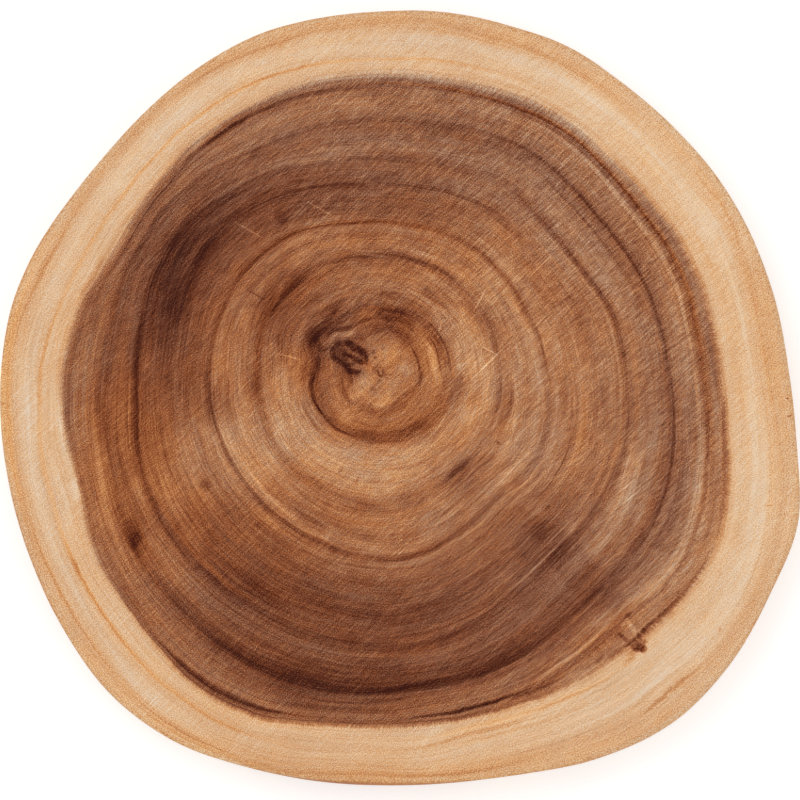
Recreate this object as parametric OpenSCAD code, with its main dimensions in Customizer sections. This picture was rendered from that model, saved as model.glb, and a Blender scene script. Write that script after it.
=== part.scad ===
// Round chopping block: one slice cut across a tree trunk, debarked and sanded, with both rims rounded.
// Millimetres, +Z up. It stands on its underside, with the middle of its footprint at the origin.
// +X is its widest span. Bearings are in degrees about the pith, anticlockwise from +X.

/* [Block] */
// Widest span of the block, along X
block_w = 340; // [280:1:400]
// Span of the block along Y
block_l = 330; // [270:1:390]
// Height from the underside to the chopping face
block_h = 40; // [25:1:70]
// Radius of the rim round the chopping face
top_rim_r = 5; // [1.5:0.5:8]
// Radius of the rim round the underside
foot_rim_r = 4; // [1.5:0.5:8]

/* [Wall] */
// How far the foot of the wall stands out past its top, at the bearing below
flare = 1.5; // [0:0.1:4]
// Bearing of the middle of that flare
flare_bearing = 268; // [200:1:340]
// Stretch of the wall that flares, in degrees
flare_span = 60; // [30:1:90]

/* [Sapwood] */
// Mean width of the pale sapwood, from the wall in to the heartwood
sapwood_w = 27; // [18:0.5:40]

/* [Heartwood] */
// How far the dark tongue reaches out of the heartwood into the sapwood
tongue_l = 4.5; // [2:0.5:8]
// Width of the tongue where it leaves the heartwood
tongue_w = 7; // [3:0.5:12]
// Bearing of the tongue
tongue_bearing = 313; // [300:1:326]

/* [Knot] */
// Thickness of the side branch that left the knot
knot_d = 14; // [8:0.5:16]
// Distance from the pith to the middle of the knot, on the chopping face
knot_reach = 15; // [13:0.5:22]
// Bearing of the knot
knot_bearing = 157; // [0:1:359]
// Lean of the branch away from the pith, from upright
knot_lean = 30; // [20:1:40]
// Timber left between the root of the branch and the pith
knot_gap = 0.8; // [0.5:0.1:2]

/* [Pith] */
// Thickness of the pith
pith_d = 2.5; // [1.5:0.1:4]

/* [Hidden] */
$fn = 64;

// Distance from the pith to the foot of the wall at every tenth degree, which gives the trunk its shape
trunk = [
    173, 170, 167.5, 165, 162, 160, 159.5, 157, 155.5,
    153.5, 153, 153, 151.5, 150, 149.5, 151.5, 156, 160,
    162, 164, 166.5, 170, 174.5, 179, 180, 178, 176.5,
    176, 177.5, 181.5, 188.5, 193.5, 193, 190, 188, 179
];
// How much wider than its mean the sapwood is at every tenth degree
swell = [
    1.5, 0, -0.5, -1.5, 0, -1, -2, -1, -0.5,
    -1.5, -2.5, -2, -3, -3.5, -3.5, -1.5, 1.5, -0.5,
    -2, -1, 2, -0.5, 0.5, 1.5, -2.5, -4, -1.5,
    -0.5, 0, 2.5, 6.5, 8.5, 5.5, 2, 5, 3.5
];
steps = 4;              // points of the outline for each value above
rim_steps = 4;          // flat steps that each rounded rim is drawn with
over = 1;               // how far a cut runs past a face, so that it opens it cleanly
count = len(trunk) * steps;

// A smooth closed curve through evenly spaced values: its value at a bearing
function smooth(values, bearing) =
    let (
        n = len(values),
        place = bearing * n / 360,
        i = floor(place),
        t = place - i,
        a = values[(i + n - 1) % n],
        b = values[i % n],
        c = values[(i + 1) % n],
        d = values[(i + 2) % n]
    )
    b + t / 2 * (c - a + t * (2 * a - 5 * b + 4 * c - d + t * (3 * (b - c) + d - a)));

function bearing_of(i) = 360 * i / count;
function span(points, axis) = [min([for (p = points) p[axis]]), max([for (p = points) p[axis]])];

// The trunk about its pith, stretched to the two spans and moved to the middle of the footprint
drawn = [for (i = [0 : count - 1]) smooth(trunk, bearing_of(i)) * [cos(bearing_of(i)), sin(bearing_of(i))]];
span_x = span(drawn, 0);
span_y = span(drawn, 1);
stretch = [block_w / (span_x[1] - span_x[0]), block_l / (span_y[1] - span_y[0])];
pith_at = -[stretch.x * (span_x[0] + span_x[1]) / 2, stretch.y * (span_y[0] + span_y[1]) / 2];
foot = [for (p = drawn) pith_at + [stretch.x * p.x, stretch.y * p.y]];

// The heartwood's edge lies one sapwood width in from the foot, towards the pith
core = [
    for (i = [0 : count - 1])
        let (out = foot[i] - pith_at)
        pith_at + out * (1 - (sapwood_w + smooth(swell, bearing_of(i))) / norm(out))
];

// Direction that faces straight out of the wall at a point of the foot
function outward(i) =
    let (along = foot[(i + 1) % count] - foot[(i + count - 1) % count])
    [along.y, -along.x] / norm(along);

function off_flare(bearing) = abs((bearing - flare_bearing + 540) % 360 - 180);
function flared(bearing) =
    off_flare(bearing) < flare_span / 2 ? flare * (1 + cos(360 * off_flare(bearing) / flare_span)) / 2 : 0;

// Levels of the wall from the underside up, each a height and how far the rims draw it in there
wall = concat(
    [for (a = [0 : 90 / rim_steps : 90]) [foot_rim_r * (1 - cos(a)), foot_rim_r * (1 - sin(a))]],
    [for (a = [0 : 90 / rim_steps : 90]) [block_h - top_rim_r * (1 - sin(a)), top_rim_r * (1 - cos(a))]]
);
function risen(height) = max(0, height - foot_rim_r) / (block_h - foot_rim_r);
function wall_loop(level) = [
    for (i = [0 : count - 1])
        let (p = foot[i] - outward(i) * (level[1] + flared(bearing_of(i)) * risen(level[0])))
        [p.x, p.y, level[0]]
];
function core_loop(z) = [for (p = core) [p.x, p.y, z]];

// The tongue, drawn along its own bearing, with its root inside the heartwood
tongue_at = let (i = round(tongue_bearing / 360 * count)) norm(core[i] - pith_at);
tongue = [
    [tongue_at - tongue_l, -tongue_w],
    [tongue_at + tongue_l, 0],
    [tongue_at - tongue_l, tongue_w]
];

// The branch's root, from the pith outwards and from the chopping face down
root_out = pith_d / 2 + knot_gap + knot_d / 2 / cos(knot_lean);
root_down = (knot_reach - root_out) / tan(knot_lean);

// A closed ring through loops of points: each loop joins the next, and the last joins the first
module ring_through(loops) {
    m = len(loops);
    n = len(loops[0]);
    polyhedron(
        points = [for (loop = loops) each loop],
        faces = [
            for (j = [0 : m - 1], i = [0 : n - 1])
                let (
                    a = j * n + i,
                    b = j * n + (i + 1) % n,
                    c = (j + 1) % m * n + (i + 1) % n,
                    d = (j + 1) % m * n + i
                )
                each [[a, c, b], [a, d, c]]
        ]
    );
}

module tongue_prism(low, high)
    translate([pith_at.x, pith_at.y, low])
        rotate([0, 0, tongue_bearing])
            linear_extrude(high - low)
                polygon(tongue);

// The buried branch: a round-ended rod that leans away from the pith and stops at the chopping face
module branch(top)
    intersection() {
        translate([pith_at.x, pith_at.y, block_h])
            rotate([0, 0, knot_bearing])
                translate([root_out, 0, -root_down])
                    rotate([0, knot_lean, 0]) {
                        sphere(d = knot_d);
                        cylinder(d = knot_d, h = block_h);
                    }
        translate([-block_w / 2, -block_l / 2, 0])
            cube([block_w, block_l, top]);
    }

// The pale ring that carries the wall and both rims
module sapwood()
    color("#e0b88c")
        difference() {
            ring_through(concat([core_loop(0)], [for (level = wall) wall_loop(level)], [core_loop(block_h)]));
            tongue_prism(-over, block_h + over);
        }

// The dark core, with its tongue, and the places of the knot and the pith
module heartwood()
    color("#935c39")
        difference() {
            union() {
                linear_extrude(block_h)
                    polygon(core);
                tongue_prism(0, block_h);
            }
            branch(block_h + over);
            translate([pith_at.x, pith_at.y, -over])
                cylinder(d = pith_d, h = block_h + 2 * over);
        }

// The root of a side branch, beside the pith
module knot()
    color("#43261d")
        branch(block_h);

// The soft core that the rings grow round
module pith()
    color("#b98555")
        translate([pith_at.x, pith_at.y, 0])
            cylinder(d = pith_d, h = block_h);

sapwood();
heartwood();
knot();
pith();
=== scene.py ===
import math

import bmesh
import bpy
import numpy as np
from mathutils.geometry import delaunay_2d_cdt
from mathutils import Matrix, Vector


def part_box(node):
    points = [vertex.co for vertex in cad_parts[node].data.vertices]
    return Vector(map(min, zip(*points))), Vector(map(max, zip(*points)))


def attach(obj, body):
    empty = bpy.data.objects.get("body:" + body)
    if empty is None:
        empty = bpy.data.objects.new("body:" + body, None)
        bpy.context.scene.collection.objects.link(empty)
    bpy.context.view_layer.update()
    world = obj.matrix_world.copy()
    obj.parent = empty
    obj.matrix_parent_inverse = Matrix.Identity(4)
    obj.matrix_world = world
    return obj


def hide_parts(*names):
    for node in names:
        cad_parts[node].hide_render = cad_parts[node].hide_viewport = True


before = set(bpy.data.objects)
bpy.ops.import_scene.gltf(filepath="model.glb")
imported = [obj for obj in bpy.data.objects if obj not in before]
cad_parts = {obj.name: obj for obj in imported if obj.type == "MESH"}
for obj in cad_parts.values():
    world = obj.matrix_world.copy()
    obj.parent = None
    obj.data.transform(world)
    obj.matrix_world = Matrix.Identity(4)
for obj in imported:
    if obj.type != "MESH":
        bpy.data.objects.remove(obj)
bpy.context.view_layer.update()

# The slice is drawn about its pith. Lengths in the shapes are metres, and in the wood they are millimetres.
MM = 0.001
AROUND = 720  # points round each loop of the trunk
NEAR = 1e-5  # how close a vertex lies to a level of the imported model, to belong to it

pith_low, pith_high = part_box("pith")
PITH = np.array([(pith_low.x + pith_high.x) / 2, (pith_low.y + pith_high.y) / 2])
PITH_R = (pith_high.x - pith_low.x) / 2
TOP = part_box("sapwood")[1].z
BEARINGS = np.arange(AROUND) * 360 / AROUND


def vertices_of(node):
    return np.array([v.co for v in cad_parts[node].data.vertices])


def level_of(points, z):
    return points[np.abs(points[:, 2] - z) < NEAR][:, :2]


def polar(points):
    """Bearings, ascending, and distances from the pith of flat points, each given once."""
    offset = points - PITH
    bearing = np.degrees(np.arctan2(offset[:, 1], offset[:, 0])) % 360
    distance = np.hypot(offset[:, 0], offset[:, 1])
    order = np.argsort(bearing)
    bearing, distance = bearing[order], distance[order]
    fresh = np.append(True, np.diff(bearing) > 1e-3)
    return bearing[fresh], distance[fresh]


def smooth_round(bearing, distance, at):
    """A smooth closed curve through distances at their bearings."""
    b = np.concatenate([bearing - 360, bearing, bearing + 360])
    d = np.tile(distance, 3)
    slope = np.gradient(d, b)
    i = np.searchsorted(b, at, side="right") - 1
    gap = b[i + 1] - b[i]
    t = (at - b[i]) / gap
    return (
        (2 * t**3 - 3 * t**2 + 1) * d[i]
        + (t**3 - 2 * t**2 + t) * gap * slope[i]
        + (3 * t**2 - 2 * t**3) * d[i + 1]
        + (t**3 - t**2) * gap * slope[i + 1]
    )


def about_pith(distance, bearing=BEARINGS):
    turn = np.radians(bearing)
    return PITH + np.stack([distance * np.cos(turn), distance * np.sin(turn)], axis=1)


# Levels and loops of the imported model: the foot rim ends and the top rim starts at its two inner levels
sapwood_points = vertices_of("sapwood")
wall_levels = np.unique(np.round(sapwood_points[:, 2], 5))
gap_at = int(np.argmax(np.diff(wall_levels)))
FOOT_R = wall_levels[gap_at]
SHOULDER = wall_levels[gap_at + 1]
TOP_R = TOP - SHOULDER
foot_loop = about_pith(smooth_round(*polar(level_of(sapwood_points, FOOT_R)), BEARINGS))
shoulder_loop = about_pith(smooth_round(*polar(level_of(sapwood_points, SHOULDER)), BEARINGS))

heart_points = level_of(vertices_of("heartwood"), 0)
heart_points = heart_points[np.hypot(*(heart_points - PITH).T) > 10 * PITH_R]
core_bearing, core_distance = polar(heart_points)
CORE = np.interp(BEARINGS, core_bearing, core_distance, period=360)


def outward(loop):
    along = np.roll(loop, -1, axis=0) - np.roll(loop, 1, axis=0)
    facing = np.stack([along[:, 1], -along[:, 0]], axis=1)
    return facing / np.linalg.norm(facing, axis=1, keepdims=True)


def worn(points):
    """How far the sanded faces dip, in metres: long shallow waves left by the sander."""
    x, y = (points - PITH).T / MM
    wave = np.sin(x / 31 + 0.6 * np.sin(y / 43)) + np.sin(y / 27 + 1.3 + 0.8 * np.sin(x / 52))
    return 0.05 * MM * (2 - wave)


def debarked(height):
    """How far the wall lies inside its outline, in metres: shallow flutes that run up the trunk."""
    turn = np.radians(BEARINGS)
    flute = (
        np.sin(23 * turn + 1.1 * np.sin(5 * turn) + 9 * height)
        + 0.7 * np.sin(41 * turn + 2.0 + 1.4 * np.sin(7 * turn) - 14 * height)
        + 0.4 * np.sin(83 * turn + 0.7 + 0.9 * np.sin(11 * turn) + 21 * height)
    )
    return 0.07 * MM * (2.1 + flute)


def make_mesh(name, points, faces):
    mesh = bpy.data.meshes.new(name)
    mesh.from_pydata([tuple(p) for p in points], [], [tuple(f) for f in faces])
    mesh.validate()
    mesh.polygons.foreach_set("use_smooth", [True] * len(mesh.polygons))
    mesh.set_sharp_from_angle(angle=math.radians(40))
    piece = bpy.data.objects.new(name, mesh)
    bpy.context.scene.collection.objects.link(piece)
    return piece


def strip(first, second, count, flip=False):
    """Quads between two closed loops of count points, given by the index of their first points."""
    faces = []
    for i in range(count):
        j = (i + 1) % count
        quad = (first + i, first + j, second + j, second + i)
        faces.append(quad[::-1] if flip else quad)
    return faces


def at_height(flat, z):
    return np.column_stack([flat, np.broadcast_to(z, len(flat))])


def sapwood_piece():
    """The pale ring: underside, foot rim, fluted wall, top rim, top, and the hidden face against the heartwood."""
    core = about_pith(CORE)
    rows = []
    steps = 8
    for a in np.linspace(0, math.pi / 2, steps + 1):
        rows.append((FOOT_R * (1 - math.cos(a)), FOOT_R * (1 - math.sin(a))))
    for z in np.linspace(FOOT_R, SHOULDER, 14)[1:-1]:
        rows.append((z, 0))
    for a in np.linspace(0, math.pi / 2, steps + 1):
        rows.append((TOP - TOP_R * (1 - math.sin(a)), TOP_R * (1 - math.cos(a))))
    wall = []
    for z, inset in rows:
        share = min(max((z - FOOT_R) / (SHOULDER - FOOT_R), 0), 1)
        loop = foot_loop + (shoulder_loop - foot_loop) * share
        fade = math.sin(math.pi * min(max(z / TOP, 0), 1))
        drawn_in = inset + debarked(z)[:, None] * fade
        wall.append(at_height(loop - outward(loop) * drawn_in, z))
    loops = []
    for t in np.linspace(0, 1, 6)[:-1]:
        flat = core + (wall[0][:, :2] - core) * t
        loops.append(at_height(flat, worn(flat) * (1 - t)))
    loops += wall
    for t in np.linspace(0, 1, 8)[1:]:
        flat = wall[-1][:, :2] + (core - wall[-1][:, :2]) * t
        loops.append(at_height(flat, TOP - worn(flat) * min(1, 3 * t)))
    faces = []
    for k in range(len(loops)):
        faces += strip(k * AROUND, (k + 1) % len(loops) * AROUND, AROUND)
    return make_mesh("sapwood_ring", np.concatenate(loops), faces)


# The knot's own shape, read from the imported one: an upright cut through a leaning rod with a round root
knot_points = vertices_of("knot")
knot_rim = level_of(knot_points, TOP)
knot_middle = (knot_rim.max(axis=0) + knot_rim.min(axis=0)) / 2
knot_out = (knot_middle - PITH) / np.linalg.norm(knot_middle - PITH)
knot_side = np.array([-knot_out[1], knot_out[0]])
KNOT_R = np.ptp(knot_rim @ knot_side) / 2
KNOT_LEAN = math.acos(min(1, KNOT_R / (np.ptp(knot_rim @ knot_out) / 2)))
KNOT_ROOT = knot_points[:, 2].min() + KNOT_R
knot_axis = np.append(knot_out * math.sin(KNOT_LEAN), math.cos(KNOT_LEAN))
knot_up = np.append(-knot_out * math.cos(KNOT_LEAN), math.sin(KNOT_LEAN))
knot_root = np.append(knot_middle - knot_out * math.tan(KNOT_LEAN) * (TOP - KNOT_ROOT), KNOT_ROOT)
KNOT_AROUND = 96
PITH_AROUND = 48


def knot_loops():
    """Loops down the knot, from its edge on the top face to near the tip of its root."""
    turn = np.arange(KNOT_AROUND) * 2 * math.pi / KNOT_AROUND
    side = np.append(knot_side, 0)
    round_it = np.cos(turn)[:, None] * side + np.sin(turn)[:, None] * knot_up
    girdle = knot_root + KNOT_R * round_it
    reach = (TOP - girdle[:, 2]) / knot_axis[2]
    edge = girdle + reach[:, None] * knot_axis
    edge[:, 2] = TOP - worn(edge[:, :2])
    loops = [edge + (girdle - edge) * t for t in (0, 0.33, 0.66, 1)]
    for a in np.radians([15, 30, 45, 60, 75]):
        loops.append(knot_root + KNOT_R * (math.cos(a) * round_it - math.sin(a) * knot_axis))
    return loops


def pith_loop(z):
    turn = np.arange(PITH_AROUND) * 2 * math.pi / PITH_AROUND
    flat = PITH + PITH_R * np.stack([np.cos(turn), np.sin(turn)], axis=1)
    return at_height(flat, z)


def filled(outer, holes, spacing):
    """Triangles inside the flat loop outer and outside holes, on a grid of that spacing: points and faces."""
    points, edges = [], []
    for loop in [outer, *holes]:
        first = len(points)
        points += [tuple(p) for p in loop]
        edges += [(first + i, first + (i + 1) % len(loop)) for i in range(len(loop))]
    middle = outer.mean(axis=0)
    reach = np.linalg.norm(outer - middle, axis=1).max()
    steps = int(reach / spacing)

    def clear(p, loops, margin):
        return all(np.linalg.norm(loop - p, axis=1).min() > margin for loop in loops)

    for i in range(-steps, steps + 1):
        for j in range(-steps, steps + 1):
            p = middle + spacing * np.array([i + 0.5 * (j % 2), j * math.sqrt(0.75)])
            if inside(p, outer) and clear(p, [outer, *holes], spacing * 0.6):
                points.append(tuple(p))
    coords, _, faces, _, _, _ = delaunay_2d_cdt(points, edges, [], 0, 1e-9)
    coords = np.array([tuple(c) for c in coords])
    kept = []
    for face in faces:
        centre = coords[list(face)].mean(axis=0)
        if inside(centre, outer) and not any(inside(centre, hole) for hole in holes):
            kept.append(tuple(face))
    return coords, kept


def inside(p, loop):
    a, b = loop, np.roll(loop, -1, axis=0)
    crosses = (a[:, 1] > p[1]) != (b[:, 1] > p[1])
    rise = np.where(crosses, b[:, 1] - a[:, 1], 1)
    x = a[:, 0] + (p[1] - a[:, 1]) / rise * (b[:, 0] - a[:, 0])
    return np.count_nonzero(crosses & (p[0] < x)) % 2 == 1


class Builder:
    """Collects loops and patches into one closed mesh, whose shared edges are welded."""

    def __init__(self):
        self.points, self.faces = [], []

    def add(self, points, faces):
        first = len(self.points)
        self.points += [tuple(p) for p in points]
        self.faces += [tuple(first + i for i in face) for face in faces]

    def add_loops(self, loops, flip=False):
        count = len(loops[0])
        faces = []
        for k in range(len(loops) - 1):
            faces += strip(k * count, (k + 1) * count, count, flip)
        self.add(np.concatenate(loops), faces)

    def finished(self, name):
        piece = make_mesh(name, self.points, self.faces)
        bm = bmesh.new()
        bm.from_mesh(piece.data)
        bmesh.ops.remove_doubles(bm, verts=bm.verts, dist=1e-6)
        bmesh.ops.recalc_face_normals(bm, faces=bm.faces)
        bm.to_mesh(piece.data)
        bm.free()
        piece.data.set_sharp_from_angle(angle=math.radians(40))
        return piece


INNER = 30 * MM  # inside this distance from the pith the faces are triangles, and outside it rings


def heartwood_piece():
    """The dark core, with its two faces, its hidden wall, the knot's bed and the pith's bore."""
    build = Builder()
    core = about_pith(CORE)
    inner = about_pith(np.full(AROUND, INNER))
    top_loops, foot_loops = [], []
    for t in np.linspace(0, 1, 46):
        flat = core + (inner - core) * t
        top_loops.append(at_height(flat, TOP - worn(flat)))
    for t in np.linspace(0, 1, 16):
        flat = core + (inner - core) * t
        foot_loops.append(at_height(flat, worn(flat)))
    build.add_loops(top_loops)
    build.add_loops(foot_loops, flip=True)
    build.add_loops([foot_loops[0] + (top_loops[0] - foot_loops[0]) * t for t in np.linspace(0, 1, 5)])
    loops = knot_loops()
    top_flat, top_faces = filled(inner, [loops[0][:, :2], pith_loop(0)[:, :2]], 1.2 * MM)
    build.add(at_height(top_flat, TOP - worn(top_flat)), top_faces)
    foot_flat, foot_faces = filled(inner, [pith_loop(0)[:, :2]], 1.6 * MM)
    build.add(at_height(foot_flat, worn(foot_flat)), [f[::-1] for f in foot_faces])
    build.add_loops(loops)
    tip = knot_root - KNOT_R * knot_axis
    last = len(loops[-1])
    fan = [(i, (i + 1) % last, last) for i in range(last)]
    build.add(np.vstack([loops[-1], tip]), fan)
    low = pith_loop(0)
    low[:, 2] = worn(low[:, :2])
    high = pith_loop(TOP)
    high[:, 2] -= worn(high[:, :2])
    build.add_loops([low + (high - low) * t for t in np.linspace(0, 1, 9)])
    return build.finished("heartwood_core")


def knot_piece():
    build = Builder()
    loops = knot_loops()
    flat, faces = filled(loops[0][:, :2], [], 0.7 * MM)
    build.add(at_height(flat, TOP - worn(flat)), faces)
    build.add_loops(loops)
    last = len(loops[-1])
    tip = knot_root - KNOT_R * knot_axis
    build.add(np.vstack([loops[-1], tip]), [(i, (i + 1) % last, last) for i in range(last)])
    return build.finished("branch_knot")


def pith_piece():
    build = Builder()
    low = pith_loop(0)
    low[:, 2] = worn(low[:, :2])
    high = pith_loop(TOP)
    high[:, 2] -= worn(high[:, :2])
    build.add_loops([low + (high - low) * t for t in np.linspace(0, 1, 9)])
    for loop, side in ((high, 1), (low, -1)):
        flat, faces = filled(loop[:, :2], [], 0.35 * MM)
        z = TOP - worn(flat) if side > 0 else worn(flat)
        build.add(at_height(flat, z), faces)
    return build.finished("pith_core")


# Each large piece brings its own map, on which the top face gets the most room and no two faces overlap
MAP_GAP = 0.006  # free room round the islands of a map, as a share of its side
FACING = 0.6  # a face whose normal rises or falls by more than this belongs to the top or the underside
TOP_SHARE = 0.75  # how wide the heartwood's top face is on its map
FOOT_SHARE = 0.385  # and its underside


def from_above(scale, at):
    """Corners as seen along the trunk: scale is in shares of the map for a metre, and at is where the pith goes."""
    return lambda place, middle: at + (place[:, :2] - PITH) * scale


def round_axis(root, axes, strips, low, high):
    """Corners turned round an axis, in strips one above the other that fill the box from low to high."""
    low, high = np.array(low), np.array(high)

    def turned(points):
        across, aside, along = ((points - root) @ np.array(axes).T).T
        return np.arctan2(aside, across) / (2 * math.pi), along, np.hypot(across, aside)

    def lies(place, middle):
        own = turned(middle)[0] % 1
        turn, along, off = turned(place)
        near = np.where(off > NEAR, (turn - own + 0.5) % 1 - 0.5, 0)
        strip = np.floor(own * strips)
        up = MAP_GAP + (1 - 2 * MAP_GAP) * (along - along.min()) / np.ptp(along)
        across = (own + near) * strips - strip
        return low + np.column_stack([across, (strip + up) / strips]) * (high - low)

    return lies


def own_map(piece, islands):
    """Lays a piece's faces out on the islands. Each says which faces it takes, and where their corners lie."""
    mesh = piece.data
    corner, face = [], []
    for polygon in mesh.polygons:
        corner += polygon.vertices
        face += [polygon.index] * polygon.loop_total
    place = np.array([v.co for v in mesh.vertices])[corner]
    middle = np.array([polygon.center for polygon in mesh.polygons])[face]
    normal = np.array([polygon.normal for polygon in mesh.polygons])[face]
    uv = np.zeros((len(place), 2))
    left = np.ones(len(place), bool)
    for takes, lies in islands:
        chosen = left & takes(middle, normal)
        uv[chosen] = lies(place[chosen], middle[chosen])
        left &= ~chosen
    layer = mesh.uv_layers.new(name="OFBake")
    layer.uv.foreach_set("vector", uv.astype(np.float32).ravel())


def faces_up(middle, normal):
    return (normal[:, 2] > FACING) & (middle[:, 2] > SHOULDER)


def faces_down(middle, normal):
    return (normal[:, 2] < -FACING) & (middle[:, 2] < FOOT_R)


def faces_out(middle, normal):
    return ((middle[:, :2] - PITH) * normal[:, :2]).sum(axis=1) > 0


def within(distance):
    return lambda middle, normal: np.linalg.norm(middle[:, :2] - PITH, axis=1) < distance


def the_rest(middle, normal):
    return np.ones(len(middle), bool)


UPRIGHT = np.eye(3)
PITH_FOOT = np.append(PITH, 0)


def sapwood_map(piece):
    """The top ring fills the map, the underside lies inside it, and the wall inside that."""
    low, high = foot_loop.min(axis=0), foot_loop.max(axis=0)
    scale = (1 - 2 * MAP_GAP) / (high - low).max()
    at = MAP_GAP + (PITH - low) * scale
    inner = (CORE / np.linalg.norm(foot_loop - PITH, axis=1)).min() - 2 * MAP_GAP
    half = CORE.min() * scale * inner / math.sqrt(2) - MAP_GAP
    split = at[1] + 0.7 * half
    own_map(piece, [
        (faces_up, from_above(scale, at)),
        (faces_down, from_above(scale * inner, at)),
        (faces_out, round_axis(PITH_FOOT, UPRIGHT, 5, at - half, (at[0] + half, split))),
        (the_rest, round_axis(PITH_FOOT, UPRIGHT, 2, (at[0] - half, split + MAP_GAP), at + half)),
    ])


def heartwood_map(piece):
    """The two faces lie in opposite corners of the map, and what is hidden beside them."""
    core = about_pith(CORE)
    low, high = core.min(axis=0), core.max(axis=0)
    top_scale = TOP_SHARE / (high - low).max()
    foot_scale = FOOT_SHARE / (high - low).max()
    start, end = TOP_SHARE + 3 * MAP_GAP, 1 - MAP_GAP
    knot_axes = np.array([np.append(knot_side, 0), knot_up, knot_axis])
    own_map(piece, [
        (faces_up, from_above(top_scale, MAP_GAP + (PITH - low) * top_scale)),
        (faces_down, from_above(foot_scale, 1 - MAP_GAP - (high - PITH) * foot_scale)),
        (within(1.5 * PITH_R), round_axis(PITH_FOOT, UPRIGHT, 1, (start, 0.01), (end, 0.08))),
        (within(INNER), round_axis(knot_root, knot_axes, 1, (start, 0.1), (end, 0.26))),
        (the_rest, round_axis(PITH_FOOT, UPRIGHT, 5, (start, 0.28), (end, 0.54))),
    ])


# Growth lines. Each is a closed curve about the pith: its distance in millimetres at chosen bearings.
# The number that names a line is its own mean distance, and the wood between two lines is measured in those.
GROWTH_LINES = {
    15: [(0, 15.5), (45, 16), (75, 17), (105, 17), (120, 16), (150, 14.5), (180, 13), (240, 15.5), (285, 14),
         (315, 13), (330, 14.5)],
    30: [(0, 28.5), (30, 28), (60, 28), (90, 29), (120, 30), (150, 32.5), (160, 32.5), (168, 29), (180, 29),
         (190, 31), (225, 32), (250, 30), (270, 29.5), (300, 30), (330, 31)],
    52: [(0, 49.5), (30, 49), (60, 49), (90, 49.5), (110, 52), (135, 53.5), (165, 54), (180, 53), (210, 54),
         (240, 54.5), (270, 55), (300, 52.5), (330, 50)],
    72: [(0, 69.5), (15, 67), (30, 65.5), (60, 65.5), (82, 64), (97, 64.5), (112, 67.5), (127, 71), (150, 73),
         (165, 73.5), (180, 74), (210, 75), (240, 76.5), (265, 79), (277, 79), (292, 76), (307, 72.5), (315, 72), (322, 74),
         (337, 75), (352, 72)],
    104: [(0, 102), (15, 99.5), (30, 93.5), (45, 92.5), (52, 94), (67, 92), (82, 90), (97, 91), (112, 95),
          (127, 99.5), (142, 104), (157, 104.5), (172, 102.5), (187, 105), (202, 109.5), (225, 112), (255, 114.5),
          (275, 115.5), (292, 111.5), (307, 106.5), (315, 105.5), (330, 106.5), (345, 105)],
    122: [(0, 121.5), (15, 118), (37, 112.5), (60, 112), (75, 108), (105, 107.5), (120, 109.5), (135, 114.5),
          (150, 116.5), (172, 117.5), (187, 120.5), (202, 124.5), (225, 132), (240, 135), (262, 136.5), (277, 135),
          (292, 134), (307, 130.5), (315, 129.5), (330, 131), (345, 127)],
    136: [(0, 135), (22, 132), (37, 127.5), (52, 128), (67, 124), (82, 122), (97, 122), (112, 123), (127, 123),
          (150, 122), (157, 123), (165, 127.5), (180, 132), (202, 137), (210, 141), (225, 146.5), (240, 152),
          (250, 152), (262, 148.5), (277, 147), (300, 147), (315, 145), (326, 148), (337, 145), (345, 141)],
    142: [(0, 144.5), (20, 141), (40, 135), (60, 134), (80, 129), (100, 128.5), (120, 127.5), (150, 126),
          (160, 127.5), (170, 133.5), (190, 138), (200, 138), (210, 143.5), (230, 150), (240, 155), (250, 155),
          (260, 151), (270, 150), (290, 152), (300, 155), (315, 159), (330, 161), (340, 156), (350, 149)],
    150: [(0, 150.5), (15, 147), (35, 141), (55, 139), (70, 136.5), (90, 133), (100, 133.5), (106, 134),
          (120, 134.5), (130, 133.5), (150, 134), (165, 138.5), (178, 144.5), (187, 146.5), (193, 149),
          (200, 150.5), (206, 152.5), (212, 154), (220, 156.5), (228, 159.5), (240, 163), (250, 164),
          (270, 160), (276, 160), (282, 158), (290, 158.5), (300, 161), (315, 166), (330, 166.5), (345, 159)],
    164: [(0, 164), (10, 161.5), (19, 161), (25, 161), (31, 158.5), (40, 155), (55, 152.5), (65, 151.5),
          (75, 150), (82, 150), (100, 147.5), (120, 147), (125, 147), (130, 147.5), (137, 146.5), (145, 146),
          (151, 147), (157, 148), (164, 151), (176, 156.5), (185, 158), (203, 162), (210, 164), (217, 166.5),
          (226, 170), (232, 173), (240, 174.5), (248, 174.5), (254, 174.5), (262, 172), (267, 170.5),
          (272, 171.5), (280, 173.5), (290, 175.5), (300, 180), (307, 182.5), (313, 182), (319, 185),
          (325, 185), (340, 179), (350, 171)],
    170: [(0, 173), (15, 168.5), (30, 165), (60, 159.5), (90, 153), (120, 151.5), (135, 149.5), (150, 151.5),
          (165, 158), (180, 162), (195, 165), (210, 170), (225, 176.5), (240, 180), (255, 177.5), (270, 176),
          (285, 179), (300, 188.5), (315, 193.5), (330, 190), (345, 183.5)],
}
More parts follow.
